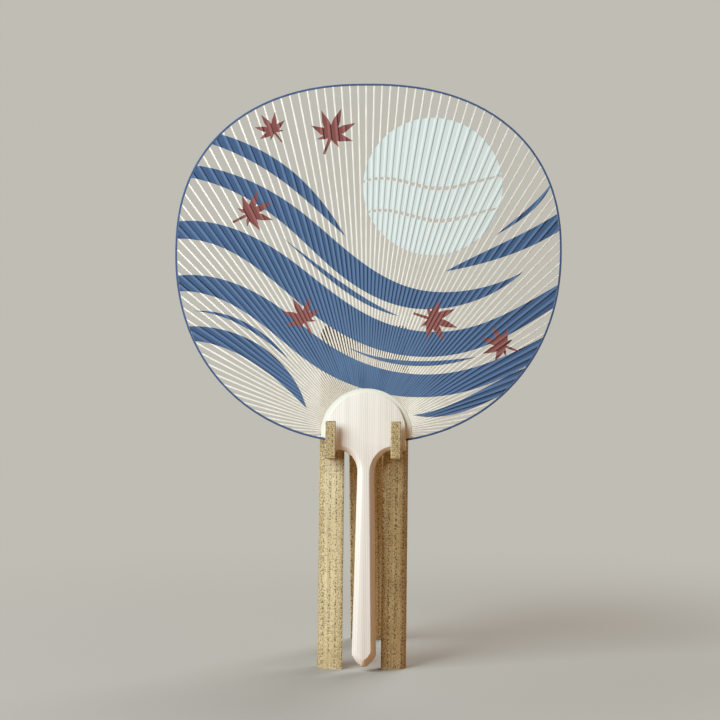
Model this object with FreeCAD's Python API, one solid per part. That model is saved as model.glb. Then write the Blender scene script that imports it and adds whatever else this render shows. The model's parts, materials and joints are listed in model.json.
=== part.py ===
"""Round openwork fan with an inserted wooden handle, standing in a folding stand of split bamboo.

Lengths are in millimetres and angles in degrees. Every piece is first built upright: X runs across,
Y runs from front to back and Z runs up. The stand's crown line, the frontmost line of its round skin,
then lies in Y = 0, and the feet in Z = 0. Fan pieces are built about the fan's own middle plane, with
the underside of the handle's shoulders in Z = 0. At the end all of it leans back, the feet are cut
level, and the whole moves to the middle of the floor that it covers.
"""
import FreeCAD
import Part

import math
import os

# Stand: one length of split culm, leaning back on its front legs
stand_lean = 18.0
board_length = 225.0
board_width = 57.0
culm_radius = 75.0
culm_wall = 8.0
board_corner_radius = 5.0
board_edge_facet = 2.2
leg_gap = 25.2

# Rear leg: the tongue cut from the gap, turning on a dowel across the board
hinge_height = 168.0
hinge_depth = 4.4
hinge_pin_diameter = 3.0
hinge_pin_length = 37.0
hinge_running_gap = 0.05
rear_leg_opening = 36.0
rear_leg_left_gap = 2.8
rear_leg_right_gap = 0.8
rear_leg_edge_facet = 0.6
rear_leg_knuckle_radius = 4.2
heel_reach = 4.6
heel_length = 1.6
heel_gap = 0.02

# Hooks: an arm let into each leg, with an upright lip in front
hook_rest_height = 142.5
hook_outset = 0.5
hook_width = 6.6
hook_arm_width = 4.4
hook_arm_height = 3.8
hook_lip_height = 24.4
hook_lip_drop = 7.2
hook_lip_thickness = 2.6
hook_lip_edge_radius = 0.5
hook_seat_gap = 0.04
tenon_width = 3.0
tenon_height = 2.6
tenon_length = 5.0
tenon_side_gap = 0.04
tenon_end_gap = 0.3

# How the fan stands in the hooks
fan_side_offset = 1.8
fan_back_gap = 0.4
fan_front_gap = 2.4

# Handle
handle_thickness = 10.0
head_radius = 25.3
head_side_height = 12.2
head_top_thickness = 2.4
cheek_taper_length = 54.0
shoulder_curve_width = 12.7
shoulder_curve_height = 14.8
neck_width = 10.9
grip_width = 15.5
grip_length = 140.6
grip_chamfer = 3.3
tip_side_height = 7.4
tip_side_inset = 3.0
tip_corner_height = 2.9
tip_flat_width = 2.8
slot_floor_height = 5.4
slot_side_gap = 0.05

# Outline of the face: an upper and a lower superellipse that meet at the widest line
face_half_width = 125.0
face_rise = 110.5
face_drop = 125.3
rim_foot_height = 4.0
rim_power_upper = 2.3
rim_power_lower = 2.15

# Ribs, counted on each side of the axis
ribs_per_side = 50
ribs_per_group = 10
rib_thickness = 0.5
rib_tip_width = 1.0
rib_root_width = 0.55
rib_root_taper_share = 0.12
rib_fill_share = 0.82
rib_root_depth = 3.2
rib_root_sweep = 92.0
rib_top_pitch = 5.2
rib_tip_gap = 0.1

# Papers
paper_thickness = 0.2
paper_seam = 0.15
waist_radius = 29.2
waist_centre_height = 10.6
tape_thickness = 0.2
tape_flap = 1.0
tape_end_gap = 0.2

# Cut-paper picture. Places across are shares of the face's half width, and heights are shares of its
# rise above the widest line or of its drop below it; widths and sizes are shares of the drop.
# Bands and ripples are rows of (across, up, half width), leaves are (across, up, size, turn).
stream_shares = (
    ((-1.04, 0.48, 0.030), (-0.74, 0.42, 0.040), (-0.42, 0.22, 0.052), (-0.10, -0.08, 0.060),
     (0.22, -0.24, 0.052), (0.52, -0.23, 0.032), (0.80, -0.10, 0.0)),
    ((-1.04, 0.115, 0.045), (-0.74, 0.08, 0.056), (-0.46, -0.09, 0.070), (-0.18, -0.31, 0.076),
     (0.14, -0.46, 0.070), (0.50, -0.46, 0.060), (0.80, -0.33, 0.050), (1.04, -0.18, 0.042)),
    ((-1.04, -0.18, 0.040), (-0.76, -0.20, 0.050), (-0.50, -0.34, 0.062), (-0.24, -0.54, 0.066),
     (0.10, -0.68, 0.062), (0.46, -0.68, 0.056), (0.76, -0.57, 0.048), (1.02, -0.42, 0.040)),
    ((-1.00, -0.44, 0.036), (-0.74, -0.46, 0.044), (-0.54, -0.56, 0.046), (-0.40, -0.69, 0.030),
     (-0.31, -0.82, 0.0)),
    ((0.24, -0.85, 0.0), (0.44, -0.82, 0.026), (0.64, -0.73, 0.036), (0.92, -0.60, 0.034)),
    ((-1.00, 0.71, 0.026), (-0.70, 0.625, 0.034), (-0.44, 0.46, 0.036), (-0.24, 0.25, 0.022),
     (-0.12, 0.09, 0.0)),
    ((1.04, 0.23, 0.038), (0.84, 0.09, 0.040), (0.64, -0.01, 0.030), (0.40, -0.10, 0.0)),
)
ripple_shares = (
    ((-0.44, 0.075, 0.0), (-0.22, -0.115, 0.011), (0.0, -0.265, 0.012), (0.16, -0.335, 0.0)),
    ((-0.10, -0.50, 0.0), (0.12, -0.57, 0.010), (0.34, -0.58, 0.012), (0.56, -0.545, 0.0)),
    ((-0.90, -0.315, 0.0), (-0.70, -0.355, 0.010), (-0.54, -0.445, 0.011), (-0.41, -0.56, 0.0)),
    ((0.95, 0.425, 0.0), (0.88, 0.31, 0.010), (0.78, 0.205, 0.010), (0.66, 0.105, 0.0)),
)
leaf_shares = (
    (-0.20, 0.69, 0.150, 20.0),
    (-0.50, 0.715, 0.105, -38.0),
    (-0.62, 0.22, 0.135, 62.0),
    (-0.33, -0.355, 0.125, -28.0),
    (0.33, -0.35, 0.140, 108.0),
    (0.70, -0.485, 0.120, -70.0),
)
moon_centre_shares = (0.33, 0.39)
moon_radius_share = 0.36

# Slits of the moon, as such rows too, in shares of its radius from its centre
moon_slit_shares = (
    ((-1.15, -0.02, 0.012), (-0.56, 0.10, 0.022), (0.04, -0.03, 0.026), (0.62, 0.07, 0.020),
     (1.20, 0.20, 0.012)),
    ((-1.15, -0.48, 0.012), (-0.54, -0.37, 0.022), (0.06, -0.50, 0.026), (0.64, -0.39, 0.020),
     (1.20, -0.27, 0.012)),
)

# Maple leaf: lobes as (turn, length share), the rest as shares of the leaf's size
leaf_lobe_shares = ((-126.0, 0.50), (-84.0, 0.78), (-42.0, 0.94), (0.0, 1.0), (42.0, 0.94), (84.0, 0.78),
                    (126.0, 0.50))
leaf_lobe_half_turn = 12.5
leaf_lobe_waist_share = 0.58
leaf_notch_share = 0.36
leaf_base_share = 0.14
leaf_base_turn = 156.0
leaf_stem_share = 0.70
leaf_stem_turn = 177.0

rim_points_per_side = 24
cut_overrun = 1.0
plane_tolerance = 0.001
cut_reach = board_length + grip_length

slot_top = hinge_height + heel_reach
face_centre_height = rim_foot_height + face_drop
leg_middle = (leg_gap / 2 + board_width / 2) / 2
hook_across = leg_middle + hook_outset
hook_side = hook_across + hook_width / 2
arm_across = hook_side - hook_arm_width / 2
lip_back = fan_back_gap + handle_thickness + fan_front_gap
rear_leg_width = leg_gap - rear_leg_left_gap - rear_leg_right_gap
rear_leg_middle = (rear_leg_left_gap - rear_leg_right_gap) / 2

vector = FreeCAD.Vector
across_axis = vector(1, 0, 0)
depth_axis = vector(0, 1, 0)
up_axis = vector(0, 0, 1)
origin = vector(0, 0, 0)


def line(start, end):
    """Straight edge between two points."""
    return Part.LineSegment(start, end).toShape()


def curve(points):
    """Smooth edge through points."""
    spline = Part.BSplineCurve()
    spline.interpolate(points)
    return spline.toShape()


def plate(edges, front, thickness):
    """Solid from a closed outline in the XZ plane, from a front depth backwards."""
    outline = Part.Face(Part.Wire(edges))
    outline.translate(vector(0, front, 0))
    return outline.extrude(vector(0, thickness, 0))


def block(across, depth, height):
    """Box between the low and high value of each direction."""
    corner = vector(across[0], depth[0], height[0])
    return Part.makeBox(across[1] - across[0], depth[1] - depth[0], height[1] - height[0], corner)


def trim(solid, point, outward):
    """Cut off what lies outward of a plane through a point."""
    return solid.cut(Part.makeCylinder(cut_reach, cut_reach, point, outward))


def turned_about_x(shape, centre, degrees):
    """Copy of a shape turned about an axis along X through a centre."""
    copy = shape.copy()
    copy.rotate(centre, across_axis, degrees)
    return copy


def skin_depth(across, inward):
    """Depth of the culm's wall at a place across it, inward of its outer skin."""
    radius = culm_radius - inward
    return culm_radius - math.sqrt(radius ** 2 - across ** 2)


def culm_strip(width, facet, height):
    """Upright strip of the culm's wall, with planed facets along its two front edges."""
    half = width / 2
    inner = half - facet
    edge_depth = skin_depth(inner, 0)
    outer_left = vector(-inner, edge_depth, 0)
    outer_right = vector(inner, edge_depth, 0)
    side_left = vector(-half, edge_depth + facet, 0)
    side_right = vector(half, edge_depth + facet, 0)
    back_left = vector(-half, skin_depth(half, culm_wall), 0)
    back_right = vector(half, skin_depth(half, culm_wall), 0)
    edges = [
        line(side_left, outer_left),
        Part.Arc(outer_left, origin, outer_right).toShape(),
        line(outer_right, side_right),
        line(side_right, back_right),
        Part.Arc(back_right, vector(0, culm_wall, 0), back_left).toShape(),
        line(back_left, side_left),
    ]
    return Part.Face(Part.Wire(edges)).extrude(vector(0, 0, height))


def hinge_bore(radius, length):
    """Round bar along the hinge axis, centred on the stand's middle."""
    start = vector(-length / 2, hinge_depth, hinge_height)
    return Part.makeCylinder(radius, length, start, across_axis)


def hook_tenon(side, grown, longer):
    """Tenon of one hook arm, or its mortise when grown by a gap."""
    middle = side * arm_across
    arm_middle = hook_rest_height - hook_arm_height / 2
    half_width = tenon_width / 2 + grown
    half_height = tenon_height / 2 + grown
    end = skin_depth(arm_across, 0) + tenon_length + longer
    return block((middle - half_width, middle + half_width), (-lip_back / 2, end),
                 (arm_middle - half_height, arm_middle + half_height))


def make_board():
    """Plate and two front legs, with the rear leg's gap, the dowel's bore and the hooks' mortises."""
    half = board_width / 2
    low = -cut_overrun
    corner_height = board_length - board_corner_radius
    corner_across = half - board_corner_radius
    arc_reach = board_corner_radius * math.sqrt(0.5)
    left_arc = vector(-corner_across - arc_reach, 0, corner_height + arc_reach)
    right_arc = vector(corner_across + arc_reach, 0, corner_height + arc_reach)
    left_foot = vector(-half, 0, low)
    right_foot = vector(half, 0, low)
    left_side = vector(-half, 0, corner_height)
    right_side = vector(half, 0, corner_height)
    left_top = vector(-corner_across, 0, board_length)
    right_top = vector(corner_across, 0, board_length)
    edges = [
        line(right_foot, left_foot),
        line(left_foot, left_side),
        Part.Arc(left_side, left_arc, left_top).toShape(),
        line(left_top, right_top),
        Part.Arc(right_top, right_arc, right_side).toShape(),
        line(right_side, right_foot),
    ]
    deepest = skin_depth(half, culm_wall) + cut_overrun
    board = culm_strip(board_width, board_edge_facet, board_length)
    board = board.common(plate(edges, -cut_overrun, deepest + cut_overrun))
    gap = block((-leg_gap / 2, leg_gap / 2), (-cut_overrun, deepest), (low, slot_top))
    board = board.cut([gap, hinge_bore(hinge_pin_diameter / 2, hinge_pin_length)])
    return board.cut([hook_tenon(side, tenon_side_gap, tenon_end_gap) for side in (-1, 1)])


def make_rear_leg():
    """Tongue with a round knuckle on the dowel and a flat heel that meets the gap's upper end."""
    axis_point = vector(0, hinge_depth, hinge_height)
    half = leg_gap / 2
    strip = culm_strip(rear_leg_width, rear_leg_edge_facet, slot_top)
    strip.translate(vector(rear_leg_middle, 0, 0))
    below = block((-half, half), (-cut_overrun, culm_wall + half), (-cut_overrun, hinge_height))
    knuckle = hinge_bore(rear_leg_knuckle_radius, leg_gap)
    heel_depth = (hinge_depth, hinge_depth + heel_length)
    heel = block((-half, half), heel_depth, (hinge_height, slot_top - heel_gap))
    heel = turned_about_x(heel, axis_point, -rear_leg_opening)
    tongue = strip.common(below.fuse([knuckle, heel])).removeSplitter()
    bore_radius = hinge_pin_diameter / 2 + hinge_running_gap
    tongue = tongue.cut(hinge_bore(bore_radius, leg_gap))
    return turned_about_x(tongue, axis_point, rear_leg_opening)


def make_hook_arm(side):
    """Arm under one shoulder of the handle, flush with the lip's outer side and seated on the leg's skin."""
    middle = side * arm_across
    across = (middle - hook_arm_width / 2, middle + hook_arm_width / 2)
    height = (hook_rest_height - hook_arm_height, hook_rest_height)
    arm = block(across, (-lip_back, skin_depth(board_width / 2, 0)), height)
    seat_axis = vector(0, culm_radius, -cut_overrun)
    skin = Part.makeCylinder(culm_radius + hook_seat_gap, board_length, seat_axis, up_axis)
    return arm.cut(skin).fuse(hook_tenon(side, 0, 0)).removeSplitter()


def make_hook_lip(side):
    """Upright lip that keeps the handle's head from falling forward and hangs a little below its arm."""
    middle = side * hook_across
    foot = hook_rest_height - hook_lip_drop
    across = (middle - hook_width / 2, middle + hook_width / 2)
    depth = (-lip_back - hook_lip_thickness, -lip_back)
    lip = block(across, depth, (foot, foot + hook_lip_height))
    front = [edge for edge in lip.Edges if edge.BoundBox.YMax < -lip_back - hook_lip_thickness / 2]
    return lip.makeFillet(hook_lip_edge_radius, front)


def make_handle():
    """Handle: slotted half-round head with tapered cheeks, concave shoulders and a pointed grip."""
    half_grip = grip_width / 2
    half_neck = neck_width / 2
    curve_across = half_neck + shoulder_curve_width
    half_flat = tip_flat_width / 2
    neck_height = -shoulder_curve_height
    foot = -grip_length
    front = -handle_thickness / 2
    major = vector(0, 0, shoulder_curve_height)
    edges = []
    for side in (1, -1):
        neck = vector(side * half_neck, 0, neck_height)
        shoulder = vector(side * curve_across, 0, 0)
        head_corner = vector(side * head_radius, 0, 0)
        centre = vector(side * curve_across, 0, neck_height)
        ellipse = Part.Ellipse(centre + major, centre + vector(-side * shoulder_curve_width, 0, 0), centre)
        start = ellipse.parameter(shoulder)
        end = ellipse.parameter(neck)
        tip_shoulder = vector(side * half_grip, 0, foot + tip_side_height)
        tip_corner = vector(side * (half_grip - tip_side_inset), 0, foot + tip_corner_height)
        edges.append(line(vector(side * half_flat, 0, foot), tip_corner))
        edges.append(line(tip_corner, tip_shoulder))
        edges.append(line(tip_shoulder, neck))
        edges.append(Part.ArcOfEllipse(ellipse, start, end).toShape())
        edges.append(line(shoulder, head_corner))
        edges.append(line(head_corner, vector(side * head_radius, 0, head_side_height)))
    head_top = head_side_height + head_radius
    crown = vector(0, 0, head_top)
    head_left = vector(-head_radius, 0, head_side_height)
    head_right = vector(head_radius, 0, head_side_height)
    edges.append(Part.Arc(head_right, crown, head_left).toShape())
    edges.append(line(vector(-half_flat, 0, foot), vector(half_flat, 0, foot)))
    handle = plate(Part.__sortEdges__(edges), front, handle_thickness)
    handle = handle.makeChamfer(grip_chamfer, face_edges(handle, foot, 0))
    for side in (1, -1):
        cheek_top = vector(0, side * head_top_thickness / 2, head_top)
        cheek = vector(0, side * cheek_taper_length, (handle_thickness - head_top_thickness) / 2)
        handle = trim(handle, cheek_top, cheek)
    slot_half = rib_thickness / 2 + paper_thickness + slot_side_gap
    reach = head_radius + cut_overrun
    slot = block((-reach, reach), (-slot_half, slot_half), (slot_floor_height, head_side_height + reach))
    return handle.cut(slot)


def face_edges(solid, low, high):
    """Edges around a handle's front and back faces that lie between two heights."""
    chosen = []
    for edge in solid.Edges:
        on_a_face = all(abs(abs(end.Y) - handle_thickness / 2) < plane_tolerance for end in edge.Vertexes)
        crosses = edge.BoundBox.YLength > handle_thickness / 2
        heights = [end.Z for end in edge.Vertexes]
        inside = min(heights) > low - plane_tolerance and max(heights) < high + plane_tolerance
        if on_a_face and inside and not crosses:
            chosen.append(edge)
    return chosen


def rim_point(turn, inset):
    """Point of the face's outline, moved inwards; the turn runs from zero at the top to pi at the foot."""
    upper = math.cos(turn) >= 0
    height = face_rise if upper else face_drop
    power = rim_power_upper if upper else rim_power_lower
    sign = 1 if upper else -1
    across = abs(math.sin(turn)) ** (2 / power)
    along = abs(math.cos(turn)) ** (2 / power)
    outward = vector(across ** (power - 1) / face_half_width, 0, sign * along ** (power - 1) / height)
    outward.normalize()
    point = vector(face_half_width * across, 0, face_centre_height + sign * height * along)
    return point - outward * inset


def mirrored(point):
    """The same point on the other side of the axis."""
    return vector(-point.x, point.y, point.z)


def face_plate(inset, front, thickness):
    """Solid of the face's whole outline, moved inwards."""
    turns = [math.pi * step / rim_points_per_side for step in range(rim_points_per_side + 1)]
    right = [rim_point(turn, inset) for turn in turns]
    left = [mirrored(point) for point in reversed(right[1:-1])]
    spline = Part.BSplineCurve()
    spline.interpolate(Points=right + left, PeriodicFlag=True)
    return plate([spline.toShape()], front, thickness)


def rib_tip_line():
    """Curve through the rib tips on the right, from the top to the waist paper."""
    last = math.pi - math.asin((waist_radius / face_half_width) ** (rim_power_lower / 2))
    turns = [last * step / rim_points_per_side for step in range(rim_points_per_side + 1)]
    spline = Part.BSplineCurve()
    spline.interpolate([rim_point(turn, tape_thickness + rib_tip_gap) for turn in turns])
    return spline


def make_rib(side, share, tips):
    """One rib, narrowed towards its root; the share runs from zero on the axis to one at the waist."""
    length = tips.length()
    top_share = rib_top_pitch * ribs_per_side / length
    place = tips.parameterAtDistance(length * share * (top_share + (1 - top_share) * share))
    tip = tips.value(place)
    rim = vector(*tips.tangent(place)[0])
    turn = math.radians(rib_root_sweep * share)
    root_radius = head_radius - rib_root_depth
    root = vector(root_radius * math.sin(turn), 0, waist_centre_height + root_radius * math.cos(turn))
    knee = root + (tip - root) * rib_root_taper_share
    along = tip - root
    along.normalize()
    square = vector(along.z, 0, -along.x)
    around = vector(math.cos(turn), 0, -math.sin(turn))
    root_pitch = root_radius * math.radians(rib_root_sweep) / ribs_per_side * around.dot(square)
    tip_pitch = length * (top_share + 2 * (1 - top_share) * share) / ribs_per_side * rim.dot(square)
    knee_pitch = root_pitch + (tip_pitch - root_pitch) * rib_root_taper_share
    tip_shift = rim * (rib_tip_width / 2 / rim.dot(square))
    knee_shift = square * (min(rib_tip_width, rib_fill_share * knee_pitch) / 2)
    root_shift = square * (min(rib_root_width, rib_fill_share * root_pitch) / 2)
    corners = [root - root_shift, knee - knee_shift, tip - tip_shift]
    corners += [tip + tip_shift, knee + knee_shift, root + root_shift]
    if side < 0:
        corners = [mirrored(corner) for corner in corners]
    outline = Part.makePolygon(corners + corners[:1])
    return plate(outline.Edges, -rib_thickness / 2, rib_thickness)


def make_rib_groups():
    """All ribs from the left waist over the top to the right waist, in groups of neighbours."""
    tips = rib_tip_line()
    shares = [(step + 0.5) / ribs_per_side for step in range(ribs_per_side)]
    ribs = [make_rib(-1, share, tips) for share in reversed(shares)]
    ribs += [make_rib(1, share, tips) for share in shares]
    starts = range(0, len(ribs), ribs_per_group)
    return [Part.makeCompound(ribs[start:start + ribs_per_group]) for start in starts]


def make_rim_tape():
    """Strip of paper folded over the rib tips, open where the handle's head stands."""
    half = rib_thickness / 2
    outer = half + tape_thickness
    tape = face_plate(0, -outer, 2 * outer)
    tape = tape.cut(face_plate(tape_thickness, -half, 2 * half))
    tape = tape.cut(face_plate(tape_thickness + tape_flap, -outer - cut_overrun, 2 * (outer + cut_overrun)))
    reach = head_radius + tape_end_gap
    low = face_centre_height - face_drop - cut_overrun
    depth = (-outer - cut_overrun, outer + cut_overrun)
    return tape.cut(block((-reach, reach), depth, (low, face_centre_height)))


def waist_disc(radius, front, thickness):
    """Round plate about the centre of the waist paper."""
    return Part.makeCylinder(radius, thickness, vector(0, front, waist_centre_height), depth_axis)


def picture_area(front):
    """Space that the papers on the ribs may cover: inside the rim tape."""
    return face_plate(tape_thickness + tape_flap + paper_seam, front, paper_thickness)


def make_waist_paper(front):
    """Half-round paper that clasps the rib roots."""
    return waist_disc(waist_radius, front, paper_thickness).common(picture_area(front))


def on_face(across_share, up_share):
    """Point of the face from shares of its sizes, counted from the widest line's middle."""
    height = face_rise if up_share > 0 else face_drop
    return vector(face_half_width * across_share, 0, face_centre_height + height * up_share)


def ribbon(spine, halves, front):
    """Paper band along a smooth line through points, with its own half width at each of them."""
    upper = []
    lower = []
    for step, half in enumerate(halves):
        ahead = spine[min(step + 1, len(spine) - 1)]
        behind = spine[max(step - 1, 0)]
        along = ahead - behind
        square = vector(-along.z, 0, along.x).normalize() * half
        upper.append(spine[step] + square)
        lower.append(spine[step] - square)
    edges = [curve(upper), curve(lower)]
    for end in (0, -1):
        if halves[end] > 0:
            edges.append(line(upper[end], lower[end]))
    return plate(Part.__sortEdges__(edges), front, paper_thickness)


def face_ribbon(shares, front):
    """Paper band laid out on the face."""
    spine = [on_face(across, up) for across, up, half in shares]
    return ribbon(spine, [face_drop * half for across, up, half in shares], front)


def make_moon(area, front):
    """Round paper in three pieces, from the bottom up, parted by two wavy slits."""
    centre = on_face(*moon_centre_shares)
    radius = face_drop * moon_radius_share
    moon = Part.makeCylinder(radius, paper_thickness, centre + vector(0, front, 0), depth_axis).common(area)
    for shares in moon_slit_shares:
        spine = [centre + vector(radius * across, 0, radius * up) for across, up, half in shares]
        moon = moon.cut(ribbon(spine, [radius * half for across, up, half in shares], front))
    return sorted(moon.Solids, key=lambda piece: piece.CenterOfMass.z)


def leaf(shares, grown, front):
    """Seven-lobed maple leaf with its stem, or its place in the paper below when grown by a seam."""
    across, up, size_share, turn = shares
    centre = on_face(across, up)
    size = face_drop * size_share + grown
    outline = [(-leaf_stem_turn, leaf_stem_share), (-leaf_base_turn, leaf_base_share)]
    for step, (lobe_turn, lobe_share) in enumerate(leaf_lobe_shares):
        if step > 0:
            between = (lobe_turn + leaf_lobe_shares[step - 1][0]) / 2
            outline.append((between, leaf_notch_share))
        waist = lobe_share * leaf_lobe_waist_share
        outline.append((lobe_turn - leaf_lobe_half_turn, waist))
        outline.append((lobe_turn, lobe_share))
        outline.append((lobe_turn + leaf_lobe_half_turn, waist))
    outline += [(leaf_base_turn, leaf_base_share), (leaf_stem_turn, leaf_stem_share)]
    points = []
    for point_turn, share in outline:
        angle = math.radians(point_turn + turn)
        points.append(centre + vector(size * share * math.sin(angle), 0, size * share * math.cos(angle)))
    return plate(Part.makePolygon(points + points[:1]).Edges, front, paper_thickness)


def make_picture(front):
    """Cut papers of one face: stream bands, ripples, the moon in three pieces, and maple leaves."""
    area = picture_area(front)
    waist = waist_disc(waist_radius + paper_seam, front, paper_thickness)
    leaf_places = [leaf(shares, paper_seam, front) for shares in leaf_shares]
    pieces = {}
    for number, shares in enumerate(stream_shares, 1):
        pieces["stream_%d" % number] = face_ribbon(shares, front).common(area).cut([waist] + leaf_places)
    ripples = [face_ribbon(shares, front).common(area).cut(leaf_places) for shares in ripple_shares]
    pieces["ripples"] = Part.makeCompound([solid for ripple in ripples for solid in ripple.Solids])
    for number, solid in enumerate(make_moon(area, front), 1):
        pieces["moon_%d" % number] = solid
    for number, shares in enumerate(leaf_shares, 1):
        pieces["leaf_%d" % number] = leaf(shares, 0, front).common(area)
    return pieces


def make_stand():
    """Stand pieces, upright."""
    pieces = {"stand_board": make_board(), "rear_leg": make_rear_leg()}
    pieces["hinge_pin"] = hinge_bore(hinge_pin_diameter / 2, hinge_pin_length)
    for side, word in ((-1, "left"), (1, "right")):
        pieces["hook_arm_" + word] = make_hook_arm(side)
        pieces["hook_lip_" + word] = make_hook_lip(side)
    return pieces


def make_fan():
    """Fan pieces, upright, about the fan's own middle plane; both faces carry the same papers."""
    front_paper = -rib_thickness / 2 - paper_thickness
    pieces = {"handle": make_handle(), "rim_tape": make_rim_tape()}
    for number, group in enumerate(make_rib_groups(), 1):
        pieces["rib_group_%02d" % number] = group
    papers = {"waist_paper": make_waist_paper(front_paper)}
    papers.update(make_picture(front_paper))
    for name, shape in papers.items():
        pieces["front_" + name] = shape
        pieces["back_" + name] = shape.translated(vector(0, paper_thickness + rib_thickness, 0))
    return pieces


def main():
    """Build, lean and place all pieces, and write one file for each."""
    os.makedirs("parts", exist_ok=True)
    pieces = make_stand()
    fan_place = vector(fan_side_offset, -fan_back_gap - handle_thickness / 2, hook_rest_height)
    for name, shape in make_fan().items():
        shape.translate(fan_place)
        pieces[name] = shape
    for shape in pieces.values():
        shape.rotate(origin, across_axis, -stand_lean)
    for name in ("stand_board", "rear_leg"):
        pieces[name] = trim(pieces[name], origin, -up_axis)
    box = Part.makeCompound(list(pieces.values())).optimalBoundingBox(False, False)
    shift = vector(-box.Center.x, -box.Center.y, 0)
    for name, shape in pieces.items():
        shape.translate(shift)
        shape.exportStep("parts/%s.step" % name)
        print(name, len(shape.Solids), "solids", round(shape.Volume, 3), "mm3", shape.isValid())
    hinge = Part.Vertex(vector(0, hinge_depth, hinge_height))
    hinge.rotate(origin, across_axis, -stand_lean)
    print("hinge axis", hinge.Point + shift)
    for name in ("stand_board", "rear_leg"):
        for face in pieces[name].Faces:
            if face.normalAt(0, 0).z < -0.999:
                print("foot of", name, face.CenterOfMass)
    print("box", box.XLength, box.YLength, box.ZMin, box.ZMax)


main()
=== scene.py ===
"""Looks of a round openwork fan that stands in a folding stand of split speckled bamboo.

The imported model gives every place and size. Wooden and bamboo pieces are softened copies of their CAD
nodes, and the cut papers are sheets pressed down over the ribs, so that each rib stands out as a ridge.
Sizes in the classes are in millimetres and angles in degrees, and only the studio's distances in metres.
"""

import json
import logging
import math
from contextlib import contextmanager
from dataclasses import dataclass, field
from enum import Enum
from typing import Any, Callable, ClassVar, Iterator, Sequence

import bmesh
import bpy
import numpy as np
from mathutils import Euler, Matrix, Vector


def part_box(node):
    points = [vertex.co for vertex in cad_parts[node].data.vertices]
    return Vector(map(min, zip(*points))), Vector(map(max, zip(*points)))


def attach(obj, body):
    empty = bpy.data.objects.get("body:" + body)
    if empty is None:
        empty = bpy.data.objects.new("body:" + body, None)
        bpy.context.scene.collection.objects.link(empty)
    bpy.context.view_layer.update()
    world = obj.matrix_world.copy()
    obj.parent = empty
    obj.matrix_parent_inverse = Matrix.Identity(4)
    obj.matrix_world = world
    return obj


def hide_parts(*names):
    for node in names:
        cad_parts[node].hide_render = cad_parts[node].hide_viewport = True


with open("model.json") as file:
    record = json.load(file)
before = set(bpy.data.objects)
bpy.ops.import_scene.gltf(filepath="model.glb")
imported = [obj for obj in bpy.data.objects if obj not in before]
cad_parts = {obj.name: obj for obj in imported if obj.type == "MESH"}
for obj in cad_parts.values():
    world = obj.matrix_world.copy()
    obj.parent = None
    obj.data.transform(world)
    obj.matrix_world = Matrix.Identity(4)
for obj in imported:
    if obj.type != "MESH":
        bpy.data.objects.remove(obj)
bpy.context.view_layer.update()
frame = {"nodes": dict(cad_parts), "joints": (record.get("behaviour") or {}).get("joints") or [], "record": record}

Piece = bpy.types.Object
Material = bpy.types.Material
Tree = bpy.types.NodeTree
Node = bpy.types.Node
Socket = bpy.types.NodeSocket

LOG = logging.getLogger("fan")
MM = 0.001

# Places of a Mix node's colour sockets, which share their names with its other sockets
MIX_FACTOR, MIX_A, MIX_B, MIX_RESULT = 0, 6, 7, 2
# Inputs of a Map Range node: the span that it reads, and the one that it turns that to
SPAN = ("From Min", "From Max")
NEW_SPAN = ("To Min", "To Max")
# A wave texture of scale one has a band every tenth of pi, so this scale gives a band for each unit
ONE_BAND = math.pi / 10

PAPER_IOR, BAMBOO_IOR, WOOD_IOR = 1.45, 1.5, 1.5
MERGE_GAP = 0.002 * MM
FLAT_ANGLE = math.radians(0.4)
SHARP_ANGLE = math.radians(28)

STAND_LEAN = math.degrees(math.asin(next(
    joint["axis"][1] for joint in frame["joints"] if joint["name"] == "fan_lift")))
REAR_LEG_OPENING = next(
    joint["range_deg"][1] for joint in frame["joints"] if joint["name"] == "rear_leg_fold")


class Body(Enum):
    """Bodies of the frame that pieces ride on."""

    STAND = "stand"
    REAR_LEG = "rear_leg"
    FAN = "fan"


class Slot(Enum):
    """Material slots of the record."""

    SPECKLED_BAMBOO = "speckled_bamboo"
    PLAIN_BAMBOO = "plain_bamboo"
    HANDLE_WOOD = "handle_wood"
    BAMBOO_RIB = "bamboo_rib"
    CREAM_PAPER = "cream_paper"
    INDIGO_PAPER = "indigo_paper"
    ICE_BLUE_PAPER = "ice_blue_paper"
    BRICK_RED_PAPER = "brick_red_paper"


class Face(Enum):
    """The two faces of the fan, with the side of its middle plane that each lies on."""

    FRONT = 1
    BACK = -1

    @property
    def prefix(self) -> str:
        """Start of the names of this face's pieces."""
        return self.name.lower() + "_"


def linear(colour: str) -> tuple[float, float, float, float]:
    """Turn an sRGB hex colour to a linear one.

    Args:
        colour: Six hex digits after a hash sign.

    Returns:
        Red, green, blue and an alpha of one.
    """
    parts = [int(colour[place:place + 2], 16) / 255 for place in (1, 3, 5)]
    red, green, blue = [
        part / 12.92 if part <= 0.04045 else ((part + 0.055) / 1.055) ** 2.4 for part in parts]
    return red, green, blue, 1.0


def add_node(tree: Tree, kind: str, settings: dict[Any, Any] | None = None,
             links: dict[Any, Socket] | None = None) -> Node:
    """Add one shader node.

    Args:
        tree: Node tree that gets the node.
        kind: Type of the node, without its common start.
        settings: Values by the name of a property, or by the name or place of an input.
        links: Sockets that feed inputs, by the name or place of the input.

    Returns:
        The new node.
    """
    node = tree.nodes.new("ShaderNode" + kind)
    for key, value in (settings or {}).items():
        if isinstance(key, str) and hasattr(node, key):
            setattr(node, key, value)
        else:
            node.inputs[key].default_value = value
    for key, socket in (links or {}).items():
        tree.links.new(socket, node.inputs[key])
    return node


@contextmanager
def editing(piece: Piece) -> Iterator[None]:
    """Hold a piece in edit mode, with faces to select.

    Args:
        piece: Mesh object to edit.
    """
    make_active(piece)
    bpy.ops.object.mode_set(mode="EDIT")
    bpy.ops.mesh.select_mode(type="FACE")
    yield
    bpy.ops.object.mode_set(mode="OBJECT")


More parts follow.
